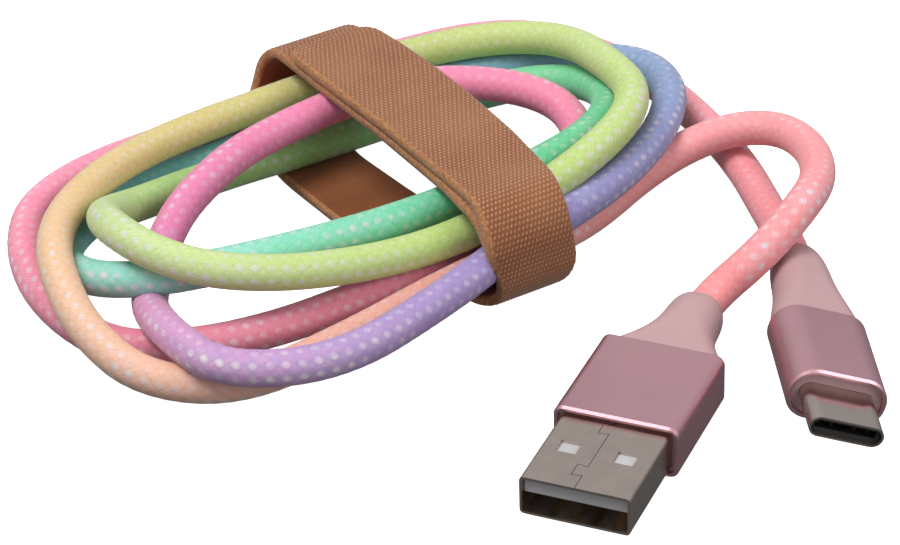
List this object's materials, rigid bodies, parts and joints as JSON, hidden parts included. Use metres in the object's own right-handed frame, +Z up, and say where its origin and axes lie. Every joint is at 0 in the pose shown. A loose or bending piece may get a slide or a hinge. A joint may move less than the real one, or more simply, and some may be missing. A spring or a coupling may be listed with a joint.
{
  "type": "coiled usb charging cable",
  "caption": "Braided charging cable with a wide flat plug and a small oval plug, wound into loose oval turns and held by a hook-and-loop tie.",
  "frame": {"origin": "on the surface that it lies on, under the middle of its box", "axes": "+Z up; +Y from the two plugs towards the far side of the coil, along the cable tie; +X towards the end of the coil that both free ends leave"},
  "size_m": [0.0899, 0.1019, 0.0137],
  "materials": {
    "braid": "woven polyester braid in a slow rainbow of pastel colours",
    "tie_fabric": "brown woven hook-and-loop tape",
    "rose_aluminium": "anodised, satin rose",
    "overmould": "matt pale pink flexible moulding",
    "plated_steel": "nickel plated, lightly brushed",
    "white_insulator": "moulded",
    "black_insulator": "moulded",
    "contact_gold": "gold plated",
    "spring_steel": "stamped spring steel",
    "circuit_board": "solder masked laminate",
    "resistor": "chip component",
    "wire_red": "extruded insulation",
    "wire_white": "extruded insulation",
    "wire_green": "extruded insulation",
    "wire_black": "extruded insulation"
  },
  "bodies": {
    "root": {"cord_coil": "braid", "cord_usb_a_tail": "braid", "cord_usb_c_tail": "braid", "cable_tie": "tie_fabric", "usb_a_sleeve": "rose_aluminium", "usb_c_sleeve": "rose_aluminium", "usb_a_overmould": "overmould", "usb_c_overmould": "overmould", "usb_a_shell": "plated_steel", "usb_c_shell": "plated_steel", "usb_a_insulator": "white_insulator", "usb_c_insulator": "black_insulator", "usb_a_contact_vbus": "contact_gold", "usb_a_contact_d_minus": "contact_gold", "usb_a_contact_d_plus": "contact_gold", "usb_a_contact_ground": "contact_gold", "usb_c_upper_contacts": "contact_gold", "usb_c_lower_contacts": "contact_gold", "usb_c_latch": "spring_steel", "usb_c_ground_springs": "spring_steel", "usb_c_board": "circuit_board", "usb_c_resistor": "resistor", "usb_a_wire_vbus": "wire_red", "usb_a_wire_d_minus": "wire_white", "usb_a_wire_d_plus": "wire_green", "usb_a_wire_ground": "wire_black", "usb_c_wire_vbus": "wire_red", "usb_c_wire_d_minus": "wire_white", "usb_c_wire_d_plus": "wire_green", "usb_c_wire_ground": "wire_black"}
  },
  "joints": []
}
